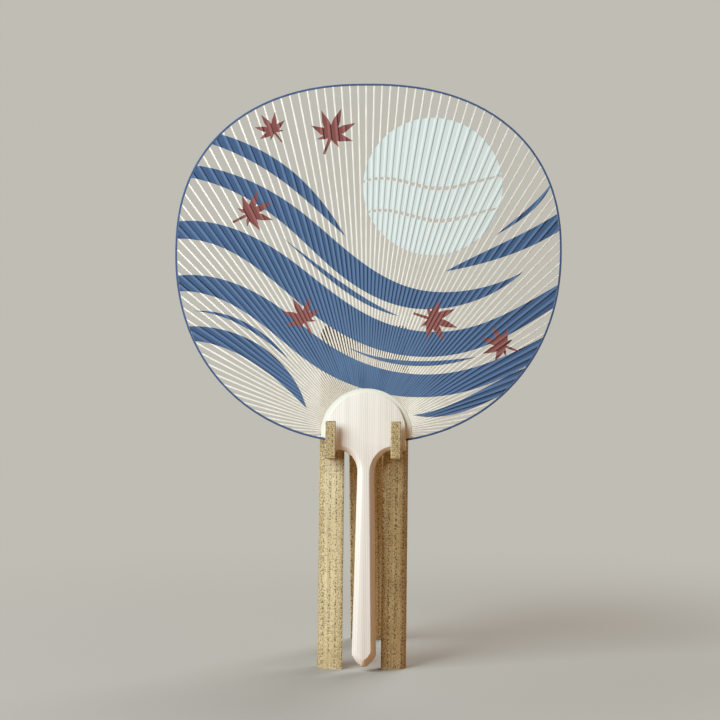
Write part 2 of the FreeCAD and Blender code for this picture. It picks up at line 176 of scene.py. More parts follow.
def make_active(piece: Piece) -> None:
    """Select one object alone and make it the active one."""
    bpy.ops.object.select_all(action="DESELECT")
    piece.select_set(True)
    bpy.context.view_layer.objects.active = piece


def select_faces(piece: Piece, test: Callable[[bmesh.types.BMFace], bool]) -> None:
    """Select the faces that pass a test and no others, in edit mode.

    Args:
        piece: Mesh object in edit mode.
        test: Says whether a face is selected.
    """
    bpy.ops.mesh.select_all(action="DESELECT")
    mesh = bmesh.from_edit_mesh(piece.data)
    for face in mesh.faces:
        face.select_set(test(face))
    bmesh.update_edit_mesh(piece.data)


def add_object(name: str, data: bpy.types.ID) -> Piece:
    """Add an object with the given mesh, lamp or lens to the scene."""
    added = bpy.data.objects.new(name, data)
    bpy.context.scene.collection.objects.link(added)
    return added


def merged_copy(node: str, name: str) -> Piece:
    """Copy a CAD node's mesh to a new object, with its triangles merged to whole faces.

    Args:
        node: Name of the CAD node.
        name: Name of the new object.

    Returns:
        The new object, with no material.
    """
    mesh = frame["nodes"][node].data.copy()
    mesh.name = name
    mesh.materials.clear()
    piece = add_object(name, mesh)
    make_active(piece)
    bpy.ops.mesh.customdata_custom_splitnormals_clear()
    with editing(piece):
        bpy.ops.mesh.select_all(action="SELECT")
        bpy.ops.mesh.remove_doubles(threshold=MERGE_GAP)
        bpy.ops.mesh.dissolve_limited(angle_limit=FLAT_ANGLE)
    return piece


def soften(piece: Piece, radius: float, segments: int = 3) -> None:
    """Round a piece's sharp edges with a bevel and shade the rest smooth.

    Args:
        piece: Mesh object.
        radius: Width of the bevel in millimetres.
        segments: Steps of the bevel.
    """
    make_active(piece)
    bevel = piece.modifiers.new("soft edges", "BEVEL")
    bevel.width = radius * MM
    bevel.segments = segments
    bevel.limit_method = "ANGLE"
    bevel.angle_limit = SHARP_ANGLE
    bpy.ops.object.modifier_apply(modifier=bevel.name)
    bpy.ops.object.shade_smooth_by_angle(angle=SHARP_ANGLE)


def settle(piece: Piece, body: Body, slot: Slot, *nodes: str) -> None:
    """Hand a finished piece to the frame and report it.

    Args:
        piece: Finished mesh object.
        body: Body that it rides on.
        slot: Slot of the record that its finish belongs to. Not used.
        nodes: CAD nodes that it stands for.
    """
    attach(piece, body.value)
    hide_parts(*nodes)
    LOG.info("%s rides on %s with %d faces", piece.name, body.value, len(piece.data.polygons))


@dataclass(frozen=True)
class Finish:
    """What every finish has: a plain shader with its material's typical values, and a fine relief."""

    relief: ClassVar[float] = 0.25
    relief_depth: ClassVar[float] = 0.05

    name: str
    roughness: float
    ior: float

    def start(self) -> tuple[Material, Tree, Node]:
        """Make the material with its shader.

        Returns:
            The material, its node tree and its shader node.
        """
        material = bpy.data.materials.new(self.name)
        material.use_nodes = True
        tree = material.node_tree
        shader = tree.nodes["Principled BSDF"]
        shader.inputs["Roughness"].default_value = self.roughness
        shader.inputs["IOR"].default_value = self.ior
        return material, tree, shader

    def dress(self, tree: Tree, shader: Node, colour: Socket, height: Socket) -> None:
        """Feed the finish's colour and its fine relief to the shader.

        Args:
            tree: Node tree of the material.
            shader: Shader of the material.
            colour: Colour of the surface.
            height: Height of the relief, up to one.
        """
        tree.links.new(colour, shader.inputs["Base Color"])
        bump = add_node(tree, "Bump", {"Strength": self.relief, "Distance": self.relief_depth * MM},
                        {"Height": height})
        tree.links.new(bump.outputs["Normal"], shader.inputs["Normal"])

    @staticmethod
    def along_grain(tree: Tree, lean: float, middle: float) -> Socket:
        """Turn Object coordinates to run across, along and through a leaning piece.

        Args:
            tree: Node tree that gets the nodes.
            lean: How far the piece leans back, in degrees.
            middle: Place of the piece's middle line on the X axis, in millimetres.

        Returns:
            Vector socket with X across, Y along the grain and Z through it, in metres.
        """
        coordinates = add_node(tree, "TexCoord")
        turned = add_node(tree, "Mapping", {
            "Rotation": (math.radians(lean - 90), 0, 0),
            "Location": (-middle * MM, 0, 0),
        }, {"Vector": coordinates.outputs["Object"]})
        return turned.outputs["Vector"]


@dataclass(frozen=True)
class MulberryPaper(Finish):
    """Handmade mulberry paper, dyed and pasted over the ribs.

    It is dead matt. Long fibres and uneven dye mottle it. On one side of each rib, where the spatula
    drew it down, the crease is dark, partly with dye and partly with painted shade, since that side is
    mostly the rib's shaded one; the ridge on top is a little paler than the valley.
    """

    relief: ClassVar[float] = 0.35

    dye: str
    deep: str
    ridge: str
    crease: str
    fibre: str
    cloud_size: float = 14.0
    fibre_width: float = 0.9
    crease_span: tuple[float, float] = (0.5, 0.4)
    strand_span: tuple[float, float] = (0.56, 0.78)
    strand_depth: float = 0.32

    def build(self) -> Material:
        """Make the material.

        Returns:
            The paper material, which reads the point attributes "ridge" and "drawn" of a pressed sheet.
        """
        material, tree, shader = self.start()
        coordinates = add_node(tree, "TexCoord").outputs["Object"]
        clouds = add_node(tree, "TexNoise", {
            "Scale": 1 / (self.cloud_size * MM), "Detail": 3.0, "Roughness": 0.6,
        }, {"Vector": coordinates})
        dyed = add_node(tree, "Mix", {
            "data_type": "RGBA", MIX_A: linear(self.dye), MIX_B: linear(self.deep),
        }, {MIX_FACTOR: clouds.outputs["Fac"]})
        ridge = add_node(tree, "Attribute", {"attribute_name": "ridge"})
        worn = add_node(tree, "Mix", {
            "data_type": "RGBA", MIX_B: linear(self.ridge),
        }, {MIX_FACTOR: ridge.outputs["Fac"], MIX_A: dyed.outputs[MIX_RESULT]})
        # Half way up a ridge the attribute is a half: that is where the crease is darkest
        halfway = add_node(tree, "Math", {"operation": "SUBTRACT", 1: 0.5}, {0: ridge.outputs["Fac"]})
        away = add_node(tree, "Math", {"operation": "ABSOLUTE"}, {0: halfway.outputs["Value"]})
        pressed = add_node(tree, "MapRange", dict(zip(SPAN, self.crease_span)),
                           {"Value": away.outputs["Value"]})
        # Dye and painted shade: only the crease on the rib's clockwise side, mostly its shaded side, is darkened
        drawn = add_node(tree, "Attribute", {"attribute_name": "drawn"})
        crease_shade_weight = add_node(tree, "Math", {"operation": "MULTIPLY"},
                          {0: pressed.outputs["Result"], 1: drawn.outputs["Fac"]})
        creased = add_node(tree, "Mix", {
            "data_type": "RGBA", MIX_B: linear(self.crease),
        }, {MIX_FACTOR: crease_shade_weight.outputs["Value"], MIX_A: worn.outputs[MIX_RESULT]})
        # Real fibres are about 0.03 mm wide; these are drawn broad enough to show
        fibres = add_node(tree, "TexNoise", {
            "Scale": 1 / (self.fibre_width * MM), "Detail": 4.0, "Distortion": 2.5,
        }, {"Vector": coordinates})
        strands = add_node(tree, "MapRange", {
            **dict(zip(SPAN, self.strand_span)), "To Max": self.strand_depth,
        }, {"Value": fibres.outputs["Fac"]})
        fibred = add_node(tree, "Mix", {
            "data_type": "RGBA", MIX_B: linear(self.fibre),
        }, {MIX_FACTOR: strands.outputs["Result"], MIX_A: creased.outputs[MIX_RESULT]})
        self.dress(tree, shader, fibred.outputs[MIX_RESULT], fibres.outputs["Fac"])
        return material


@dataclass(frozen=True)
class SpeckledBambooSkin(Finish):
    """Natural skin of speckled bamboo, only washed and wiped.

    It has a soft waxy sheen. Fine streaks run along the culm, dark specks stand in rows a few
    millimetres apart, and smaller fainter ones lie between the rows, most of them near a split edge.
    Towards the top of a long strip the skin turns darker brown.
    """

    relief: ClassVar[float] = 0.5
    relief_depth: ClassVar[float] = 0.08

    lean: float
    middle: float
    strip_middle: float
    strip_half: float
    middle_share: float
    row_pitch: float
    pale: str = "#D9C99C"
    streak: str = "#BDA875"
    stain: str = "#B39E70"
    speck: str = "#4E3D1C"
    smoke: str = "#4A3219"
    streak_size: tuple[float, float, float] = (1.3, 60.0, 4.0)
    streak_span: tuple[float, float] = (0.34, 0.66)
    stain_size: float = 16.0
    stain_span: tuple[float, float] = (0.48, 0.72)
    stain_depth: float = 0.6
    smoke_span: tuple[float, float] = (160.0, 195.0)
    smoke_depth: float = 0.85
    speck_width: float = 1.5
    speck_length: float = 2.3
    speck_scatter: float = 0.75
    speck_radii: tuple[float, float] = (0.22, 0.42)
    speck_edge: tuple[float, float] = (-0.06, 0.12)
    fine_size: float = 0.58
    fine_depth: float = 0.72
    calm_share: float = 0.25
    edge_share: float = 1.0
    row_size: float = 0.9
    row_depth: float = 0.85
    row_length: float = 90.0
    row_sway: float = 1.2
    row_span: tuple[float, float] = (0.55, 0.95)
    row_share: float = 0.9

    def build(self) -> Material:
        """Make the material.

        Returns:
            The skin material, with its rows along the piece.
        """
        material, tree, shader = self.start()
        space = self.along_grain(tree, self.lean, self.middle)
        colour = self.streaks(tree, space)
        sets = ((self.fine_density(tree, space), self.fine_size, self.fine_depth),
                (self.row_density(tree, space), self.row_size, self.row_depth))
        for density, size_share, depth in sets:
            specks = self.specks(tree, space, density, size_share, depth)
            colour = add_node(tree, "Mix", {
                "data_type": "RGBA", MIX_B: linear(self.speck),
            }, {MIX_FACTOR: specks, MIX_A: colour}).outputs[MIX_RESULT]
        self.dress(tree, shader, colour, specks)
        return material

    def streaks(self, tree: Tree, space: Socket) -> Socket:
        """Colour the ground of the skin.

        Args:
            tree: Node tree that gets the nodes.
            space: Coordinates along the grain.

        Returns:
            Colour socket with pale ground, streaks, stains and the darker top.
        """
        drawn = add_node(tree, "Mapping", {"Scale": [1 / (size * MM) for size in self.streak_size]},
                         {"Vector": space})
        fine = add_node(tree, "TexNoise", {"Scale": 1.0, "Detail": 4.0},
                        {"Vector": drawn.outputs["Vector"]})
        fibres = add_node(tree, "MapRange", dict(zip(SPAN, self.streak_span)),
                          {"Value": fine.outputs["Fac"]})
        clouds = add_node(tree, "TexNoise", {"Scale": 1 / (self.stain_size * MM), "Detail": 2.0},
                          {"Vector": space})
        stained = add_node(tree, "MapRange", {
            **dict(zip(SPAN, self.stain_span)), "To Max": self.stain_depth,
        }, {"Value": clouds.outputs["Fac"]})
        ground = add_node(tree, "Mix", {
            "data_type": "RGBA", MIX_A: linear(self.pale), MIX_B: linear(self.streak),
        }, {MIX_FACTOR: fibres.outputs["Result"]})
        mottled = add_node(tree, "Mix", {
            "data_type": "RGBA", MIX_B: linear(self.stain),
        }, {MIX_FACTOR: stained.outputs["Result"], MIX_A: ground.outputs[MIX_RESULT]})
        # Darker brown towards the top of a long strip, by height along the grain
        along = add_node(tree, "SeparateXYZ", {}, {"Vector": space})
        darker_top = add_node(tree, "MapRange", {
            "interpolation_type": "SMOOTHSTEP", "From Min": self.smoke_span[0] * MM,
            "From Max": self.smoke_span[1] * MM, "To Max": self.smoke_depth,
        }, {"Value": along.outputs["Y"]})
        colour = add_node(tree, "Mix", {
            "data_type": "RGBA", MIX_B: linear(self.smoke),
        }, {MIX_FACTOR: darker_top.outputs["Result"], MIX_A: mottled.outputs[MIX_RESULT]})
        return colour.outputs[MIX_RESULT]

    def fine_density(self, tree: Tree, space: Socket) -> Socket:
        """Say how many of the fine specks show at each place.

        Args:
            tree: Node tree that gets the nodes.
            space: Coordinates along the grain.

        Returns:
            Value socket, from few in the middle of a strip to many at its edges.
        """
        across = add_node(tree, "SeparateXYZ", {}, {"Vector": space})
        side = add_node(tree, "Math", {"operation": "ABSOLUTE"}, {0: across.outputs["X"]})
        offset = add_node(tree, "Math", {"operation": "SUBTRACT", 1: self.strip_middle * MM},
                          {0: side.outputs["Value"]})
        distance = add_node(tree, "Math", {"operation": "ABSOLUTE"}, {0: offset.outputs["Value"]})
        return add_node(tree, "MapRange", {
            "interpolation_type": "SMOOTHSTEP", "From Min": self.calm_share * self.strip_half * MM,
            "From Max": self.strip_half * MM, "To Min": self.middle_share, "To Max": self.edge_share,
        }, {"Value": distance.outputs["Value"]}).outputs["Result"]

    def row_density(self, tree: Tree, space: Socket) -> Socket:
        """Say how many of the large specks show at each place.

        Args:
            tree: Node tree that gets the nodes.
            space: Coordinates along the grain.

        Returns:
            Value socket, from none between the rows to nearly all along them.
        """
        drawn = add_node(tree, "Mapping", {
            "Scale": (1 / (self.row_pitch * MM), 1 / (self.row_length * MM), 0), "Location": (0.5, 0, 0),
        }, {"Vector": space})
        rows = add_node(tree, "TexWave", {"Scale": ONE_BAND, "Distortion": self.row_sway, "Detail": 1.0},
                        {"Vector": drawn.outputs["Vector"]})
        return add_node(tree, "MapRange", {
            **dict(zip(SPAN, self.row_span)), "To Max": self.row_share,
        }, {"Value": rows.outputs["Fac"]}).outputs["Result"]

    def specks(self, tree: Tree, space: Socket,
               density: Socket, size_share: float, depth: float) -> Socket:
        """Draw one set of specks in rows.

        Args:
            tree: Node tree that gets the nodes.
            space: Coordinates along the grain.
            density: Share of the specks that show.
            size_share: Size of this set's specks against the largest ones.
            depth: How dark this set's specks are, up to one.

        Returns:
            Value socket with the specks' depth inside them and zero outside.
        """
        width, length = self.speck_width * size_share * MM, self.speck_length * size_share * MM
        rows = add_node(tree, "Mapping", {
            "Scale": (1 / width, 1 / length, 0), "Location": (size_share, size_share, 0),
        }, {"Vector": space})
        cells = add_node(tree, "TexVoronoi", {
            "voronoi_dimensions": "2D", "Scale": 1.0, "Randomness": self.speck_scatter,
        }, {"Vector": rows.outputs["Vector"]})
        draw = add_node(tree, "SeparateColor", {}, {"Color": cells.outputs["Color"]})
        shown = add_node(tree, "Math", {"operation": "LESS_THAN"}, {0: draw.outputs["Red"], 1: density})
        size = add_node(tree, "MapRange", dict(zip(NEW_SPAN, self.speck_radii)),
                        {"Value": draw.outputs["Green"]})
        inside = add_node(tree, "Math", {"operation": "SUBTRACT"},
                          {0: size.outputs["Result"], 1: cells.outputs["Distance"]})
        dot = add_node(tree, "MapRange", {**dict(zip(SPAN, self.speck_edge)), "To Max": depth},
                       {"Value": inside.outputs["Value"]})
        return add_node(tree, "Math", {"operation": "MULTIPLY"},
                        {0: dot.outputs["Result"], 1: shown.outputs["Value"]}).outputs["Value"]


@dataclass(frozen=True)
class SplitBambooFlesh(Finish):
    """Inner wall of the culm, split and scraped.

    It is drier and browner than the skin, with dark fibre bundles along the split faces.
    """

    relief: ClassVar[float] = 0.6
    relief_depth: ClassVar[float] = 0.1

    lean: float
    middle: float
    pale: str = "#C9AC72"
    bundle: str = "#8A6A38"
    bundle_size: tuple[float, float, float] = (0.75, 40.0, 0.75)
    bundle_span: tuple[float, float] = (0.42, 0.70)

    def build(self) -> Material:
        """Make the material.

        Returns:
            The flesh material, with its fibres along the piece.
        """
        material, tree, shader = self.start()
        space = self.along_grain(tree, self.lean, self.middle)
        drawn = add_node(tree, "Mapping", {"Scale": [1 / (size * MM) for size in self.bundle_size]},
                         {"Vector": space})
        fibres = add_node(tree, "TexNoise", {"Scale": 1.0, "Detail": 5.0, "Roughness": 0.65},
                          {"Vector": drawn.outputs["Vector"]})
        lines = add_node(tree, "MapRange", dict(zip(SPAN, self.bundle_span)),
                         {"Value": fibres.outputs["Fac"]})
        colour = add_node(tree, "Mix", {
            "data_type": "RGBA", MIX_A: linear(self.pale), MIX_B: linear(self.bundle),
        }, {MIX_FACTOR: lines.outputs["Result"]})
        self.dress(tree, shader, colour.outputs[MIX_RESULT], fibres.outputs["Fac"])
        return material


@dataclass(frozen=True)
class PlanedCypress(Finish):
    """Straight-grained cypress, planed and left bare.

    It is nearly white and slightly silky. Thin faint lines of tan late wood run along the handle about
    a millimetre apart, some of them darker than others.
    """

    relief: ClassVar[float] = 0.2

    lean: float
    pale: str = "#F6F4EC"
    late_wood: str = "#CCC5B6"
    ring_size: tuple[float, float, float] = (1.2, 180.0, 6.0)
    ring_sway: float = 2.2
    year_scale: float = 0.35
    year_span: tuple[float, float] = (0.35, 0.7)
    year_depth: tuple[float, float] = (0.1, 0.7)
    pore_size: tuple[float, float, float] = (0.3, 8.0, 0.3)

    def build(self) -> Material:
        """Make the material.

        Returns:
            The wood material, with its grain along the handle.
        """
        material, tree, shader = self.start()
        space = self.along_grain(tree, self.lean, 0.0)
        drawn = add_node(tree, "Mapping", {"Scale": [1 / (size * MM) for size in self.ring_size]},
                         {"Vector": space})
        rings = add_node(tree, "TexWave", {
            "Scale": ONE_BAND, "Distortion": self.ring_sway, "Detail": 1.0,
        }, {"Vector": drawn.outputs["Vector"]})
        years = add_node(tree, "TexNoise", {"Scale": self.year_scale, "Detail": 1.0},
                         {"Vector": drawn.outputs["Vector"]})
        weight = add_node(tree, "MapRange", dict(zip(SPAN + NEW_SPAN, self.year_span + self.year_depth)),
                          {"Value": years.outputs["Fac"]})
        lines = add_node(tree, "Math", {"operation": "MULTIPLY"},
                         {0: rings.outputs["Fac"], 1: weight.outputs["Result"]})
        colour = add_node(tree, "Mix", {
            "data_type": "RGBA", MIX_A: linear(self.pale), MIX_B: linear(self.late_wood),
        }, {MIX_FACTOR: lines.outputs["Value"]})
        pores = add_node(tree, "Mapping", {"Scale": [1 / (size * MM) for size in self.pore_size]},
                         {"Vector": space})
        fibres = add_node(tree, "TexNoise", {"Scale": 1.0, "Detail": 2.0},
                          {"Vector": pores.outputs["Vector"]})
        self.dress(tree, shader, colour.outputs[MIX_RESULT], fibres.outputs["Fac"])
        return material


@dataclass(frozen=True)
class ScrapedBambooRib(Finish):
    """Hair-thin bamboo ribs, split and scraped.

    They are cream, nearly white, each a little different in tone, with faint fibres along them.
    """

    pale: str = "#F8F8EE"
    dark: str = "#EBE9DB"
    tone_size: float = 9.0
    tone_span: tuple[float, float] = (0.35, 0.75)
    fibre_width: float = 0.4

    def build(self) -> Material:
        """Make the material.

        Returns:
            The rib material.
        """
        material, tree, shader = self.start()
        coordinates = add_node(tree, "TexCoord").outputs["Object"]
        tone = add_node(tree, "TexNoise", {"Scale": 1 / (self.tone_size * MM), "Detail": 3.0},
                        {"Vector": coordinates})
        spread = add_node(tree, "MapRange", dict(zip(SPAN, self.tone_span)),
                          {"Value": tone.outputs["Fac"]})
        colour = add_node(tree, "Mix", {
            "data_type": "RGBA", MIX_A: linear(self.pale), MIX_B: linear(self.dark),
        }, {MIX_FACTOR: spread.outputs["Result"]})
        fibres = add_node(tree, "TexNoise", {"Scale": 1 / (self.fibre_width * MM), "Detail": 2.0},
                          {"Vector": coordinates})
        self.dress(tree, shader, colour.outputs[MIX_RESULT], fibres.outputs["Fac"])
        return material


# Colours of each paper: its dye, deeper clouds in it, worn ridges, creases in dye and painted shade, loose fibres
PAPERS = {
    Slot.CREAM_PAPER: MulberryPaper(
        "cream mulberry paper", 0.9, PAPER_IOR,
        "#EEF1E6", "#E8ECDF", "#F1F3EA", "#DEDFD0", "#E4E5D7"),
    Slot.INDIGO_PAPER: MulberryPaper(
        "indigo dyed mulberry paper", 0.88, PAPER_IOR,
        "#43618A", "#3A577E", "#5C7CA4", "#0D1B34", "#7592B5"),
    Slot.ICE_BLUE_PAPER: MulberryPaper(
        "ice blue dyed mulberry paper", 0.9, PAPER_IOR,
        "#DDEBEA", "#D6E6E5", "#E0EEED", "#ABBDBE", "#EDF6F5"),
    Slot.BRICK_RED_PAPER: MulberryPaper(
        "brick red dyed mulberry paper", 0.88, PAPER_IOR,
        "#884F4C", "#7D4644", "#99625E", "#30110D", "#AA7773"),
}


@dataclass(frozen=True)
class FanPlane:
    """Middle plane of the fan, as the frame holds it."""

    origin: Vector
    across: Vector
    up: Vector
    normal: Vector

    @classmethod
    def from_frame(cls) -> "FanPlane":
        """Read the plane from the rim tape's place and the way that the fan lifts.

        Returns:
            The plane, with its normal towards the front.
        """
        low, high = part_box("rim_tape")
        lift = next(joint for joint in frame["joints"] if joint["name"] == "fan_lift")
        across = Vector((1, 0, 0))
        up = Vector(lift["axis"]).normalized()
        return cls((low + high) / 2, across, up, across.cross(up))

    @property
    def axes(self) -> np.ndarray:
        """The plane's own axes, one to a row."""
        return np.array([self.across, self.up, self.normal])

    def to_plane(self, points: np.ndarray) -> np.ndarray:
        """Turn points of the frame to across, up and height over the plane.

        Args:
            points: One row for each point, in metres.

        Returns:
            The same points on the plane's own axes.
        """
        return (points - np.array(self.origin)) @ self.axes.T

    def to_frame(self, points: np.ndarray) -> np.ndarray:
        """Turn points on the plane's own axes back to the frame.

        Args:
            points: One row of across, up and height for each point, in metres.

        Returns:
            The same points in the frame.
        """
        return points @ self.axes + np.array(self.origin)


def vertex_places(piece: Piece) -> np.ndarray:
    """Read a mesh object's vertices as rows of three numbers."""
    places = np.empty(len(piece.data.vertices) * 3)
    piece.data.vertices.foreach_get("co", places)
    return places.reshape(-1, 3)


@dataclass(frozen=True)
class RibLine:
    """Centre line of one rib on the fan's plane, with its half width at the root, knee and tip."""

    root: np.ndarray
    tip: np.ndarray
    knee_share: float
    halves: tuple[float, float, float]

    def spread(self, root_step: float, tip_step: float) -> tuple[np.ndarray, np.ndarray]:
        """Find a line beside the rib.

        Args:
            root_step: Distance from the centre line at the root; negative on its other side.
            tip_step: Distance from the centre line at the tip.

        Returns:
            A point of that line and the direction square to it, on the plane.
        """
        along = (self.tip - self.root) / np.linalg.norm(self.tip - self.root)
        square = np.array((along[1], -along[0]))
        start = self.root + square * root_step
        end = self.tip + square * tip_step
        run = (end - start) / np.linalg.norm(end - start)
        return start, np.array((run[1], -run[0]))


@dataclass
class Ribs:
    """Split bamboo ribs, in the ten groups that the CAD model has."""

    plane: FanPlane
    groups: int = 10
    edge_radius: float = 0.12
    lines: list[RibLine] = field(default_factory=list)

    def build(self) -> None:
        """Make a softened copy of each group and note its centre lines."""
        finish = ScrapedBambooRib("scraped bamboo rib", 0.6, BAMBOO_IOR).build()
        hub = self.hub()
        for number in range(1, self.groups + 1):
            node = f"rib_group_{number:02d}"
            piece = merged_copy(node, f"bamboo_ribs_{number:02d}")
            self.lines += self.read_lines(piece, hub)
            piece.data.materials.append(finish)
            soften(piece, self.edge_radius, segments=2)
            settle(piece, Body.FAN, Slot.BAMBOO_RIB, node)

    def hub(self) -> np.ndarray:
        """Find the centre that the ribs spread from: that of the waist paper's round edge."""
        places = self.plane.to_plane(vertex_places(frame["nodes"]["front_waist_paper"]))
        return np.array((0.0, places[:, 1].max() - places[:, 0].max()))

    def read_lines(self, piece: Piece, hub: np.ndarray) -> list[RibLine]:
        """Read each rib's centre line from a merged group.

        Args:
            piece: Group of ribs, each a bar of twelve corners.
            hub: Centre that the ribs spread from.

        Returns:
            One line for each rib.
        """
        places = self.plane.to_plane(vertex_places(piece))
        lines = []
        for corners in self.bars(piece):
            front = places[[corner for corner in corners if places[corner, 2] > 0], :2]
            order = np.argsort(np.linalg.norm(front - hub, axis=1))
            root, knee, tip = front[order].reshape(3, 2, 2)
            along = tip.mean(0) - root.mean(0)
            length = np.linalg.norm(along)
            square = np.array((along[1], -along[0])) / length
            knee_share = (knee.mean(0) - root.mean(0)) @ along / length ** 2
            halves = tuple(abs((pair[1] - pair[0]) @ square) / 2 for pair in (root, knee, tip))
            lines.append(RibLine(root.mean(0), tip.mean(0), knee_share, halves))
        return lines

    @staticmethod
    def bars(piece: Piece) -> list[list[int]]:
        """Part a group's vertices into its separate bars.

        Args:
            piece: Merged group of ribs.

        Returns:
            The vertices of each bar.
        """
        owner = list(range(len(piece.data.vertices)))
        for edge in piece.data.edges:
            old, new = sorted((owner[edge.vertices[0]], owner[edge.vertices[1]]))
            owner = [old if group == new else group for group in owner]
        return [[vertex for vertex, group in enumerate(owner) if group == bar]
                for bar in sorted(set(owner))]


@dataclass
class FacePapers:
    """Cut papers of both faces, pressed down between the ribs, and the stiff waist papers over them."""

    plane: FanPlane
    ribs: list[RibLine]
    crest: float = 0.40
    valley: float = 0.22
    thickness: float = 0.13
    waist_height: float = 0.62
    waist_thickness: float = 0.37
    waist_edge: float = 0.12
    slope_at_root: float = 0.26
    slope_at_tip: float = 0.95
    facing: float = 0.9
    faintest_crease: float = 0.65
    crease_seed: int = 7
    bend_angle: float = 6.0

    def build(self) -> None:
        """Make each paper of the front and of the back."""
        materials = {slot: finish.build() for slot, finish in PAPERS.items()}
        slots = {part["node"]: Slot(part["material_slot"]) for part in frame["record"]["subparts"]}
        front = Face.FRONT.prefix
        for node in sorted(name for name in slots if name.startswith(front)):
            motif = node[len(front):]
            stiff = slots[node] is Slot.CREAM_PAPER
            sheet = self.front_sheet(node) if stiff else self.ruled_sheet(node)
            for face in Face:
                shape = self.laid if stiff else self.pressed
                piece = shape(sheet, face, f"{face.prefix}{motif}_sheet")
                piece.data.materials.append(materials[slots[node]])
                settle(piece, Body.FAN, slots[node], face.prefix + motif)
            bpy.data.objects.remove(sheet)

    def front_sheet(self, node: str) -> Piece:
        """Take the front of a paper alone.

        Args:
            node: CAD node of a front paper.

        Returns:
            Flat sheet of no thickness.
        """
        sheet = merged_copy(node, node + "_flat")
        with editing(sheet):
            select_faces(sheet, lambda face: face.normal.dot(self.plane.normal) < self.facing)
            bpy.ops.mesh.delete(type="FACE")
        return sheet

    def ruled_sheet(self, node: str) -> Piece:
        """Cut the front of a paper along the lines where it bends over the ribs.

        Args:
            node: CAD node of a front paper.

        Returns:
            Flat sheet with edges along every rib that it covers.
        """
        sheet = self.front_sheet(node)
        with editing(sheet):
            bpy.ops.mesh.select_all(action="SELECT")
            bpy.ops.mesh.bisect(plane_co=self.plane.origin, plane_no=self.plane.across)
            for side in (1, -1):
                select_faces(sheet, lambda face: face.calc_center_median().x * side < 0)
                bpy.ops.mesh.hide(unselected=False)
                self.rule(sheet, [rib for rib in self.ribs if rib.tip[0] * side > 0])
                bpy.ops.mesh.reveal(select=False)
        return sheet

    def rule(self, sheet: Piece, ribs: Sequence[RibLine]) -> None:
        """Cut what shows of a sheet in edit mode along some ribs.

        Args:
            sheet: Flat sheet in edit mode.
            ribs: Ribs to follow.
        """
        mesh = bmesh.from_edit_mesh(sheet.data)
        shown = np.array([vertex.co for vertex in mesh.verts if not vertex.hide])
        if len(shown) == 0:
            return
        shown = self.plane.to_plane(shown)[:, :2]
        for rib in ribs:
            knee, tip = rib.halves[1:]
            steps = np.array(((0.0, 0.0), (knee, tip), (-knee, -tip)))
            foot = np.array((knee + self.slope_at_root * MM, tip + self.slope_at_tip * MM))
            for root_step, tip_step in (*steps, foot, -foot):
                start, square = rib.spread(root_step, tip_step)
                sides = (shown - start) @ square
                if sides.min() < 0 < sides.max():
                    flat = np.array(((*start, 0.0), (*(start + square), 0.0)))
                    place, beside = self.plane.to_frame(flat)
                    bpy.ops.mesh.select_all(action="SELECT")
                    bpy.ops.mesh.bisect(plane_co=place, plane_no=beside - place)

    def ridge(self, places: np.ndarray) -> tuple[np.ndarray, np.ndarray]:
        """Say where each point lies on the ridge over its nearest rib.

        Args:
            places: Points on the plane, across and up.

        Returns:
            How far up the ridge each point lies, one on top of a rib and zero between the ribs, and how
            hard it was drawn down on the rib's clockwise side, zero on the other: the weight of the crease's
            dye and painted shade.
        """
        highest = np.full(len(places), -np.inf)
        drawn = np.zeros(len(places))
        draws = np.random.default_rng(self.crease_seed)
        crease_shade_weights = draws.uniform(self.faintest_crease, 1, len(self.ribs))
        for rib, crease_shade_weight in zip(self.ribs, crease_shade_weights):
            along = rib.tip - rib.root
            length = np.linalg.norm(along)
            run = (places - rib.root) @ along / length ** 2
            beside = (places - rib.root) @ np.array((along[1], -along[0])) / length
            share = np.clip(run, 0, 1)
            half = np.interp(share, (0, rib.knee_share, 1), rib.halves)
            slope = (self.slope_at_root + (self.slope_at_tip - self.slope_at_root) * share) * MM
            height = np.where(run > 0, 1 - (np.abs(beside) - half) / slope, -np.inf)
            # The clockwise side, mostly the side in shade, carries the crease's dye and painted shade
            drawn = np.where(height > highest, np.where(beside > 0, crease_shade_weight, 0), drawn)
            highest = np.maximum(highest, height)
        return np.clip(highest, 0, 1), drawn

    def copy_at(self, sheet: Piece, face: Face, name: str,
                heights: np.ndarray | float) -> Piece:
        """Copy a flat sheet to its place over one face of the fan's middle plane.

        Args:
            sheet: Flat sheet.
            face: Face of the fan that the copy is for.
            name: Name of the copy.
            heights: Height of each vertex over the plane, or one for all, in millimetres.

        Returns:
            The copy, which still has no thickness.
        """
        piece = add_object(name, sheet.data.copy())
        places = self.plane.to_plane(vertex_places(piece))
        places[:, 2] = face.value * heights * MM
        piece.data.vertices.foreach_set("co", self.plane.to_frame(places).ravel())
        return piece

    def pressed(self, sheet: Piece, face: Face, name: str) -> Piece:
        """Press a copy of a flat sheet down between the ribs and give it its thickness.

        Args:
            sheet: Flat sheet with edges along the ribs.
            face: Face of the fan that it is pasted to.
            name: Name of the new piece.

        Returns:
            The pressed paper, with the point attributes "ridge" and "drawn".
        """
        ridge, drawn = self.ridge(self.plane.to_plane(vertex_places(sheet))[:, :2])
        piece = self.copy_at(sheet, face, name, self.valley + (self.crest - self.valley) * ridge)
        for label, values in (("ridge", ridge), ("drawn", drawn)):
            piece.data.attributes.new(label, "FLOAT", "POINT").data.foreach_set("value", values)
        self.thicken(piece, face, self.thickness)
        bpy.ops.object.shade_smooth_by_angle(angle=math.radians(self.bend_angle))
        return piece

    def laid(self, sheet: Piece, face: Face, name: str) -> Piece:
        """Lay a stiff copy of a flat sheet over the ribs, with soft edges.

        Args:
            sheet: Flat sheet.
            face: Face of the fan that it is pasted to.
            name: Name of the new piece.

        Returns:
            The stiff paper.
        """
        piece = self.copy_at(sheet, face, name, self.waist_height)
        self.thicken(piece, face, self.waist_thickness)
        soften(piece, self.waist_edge, segments=2)
        return piece

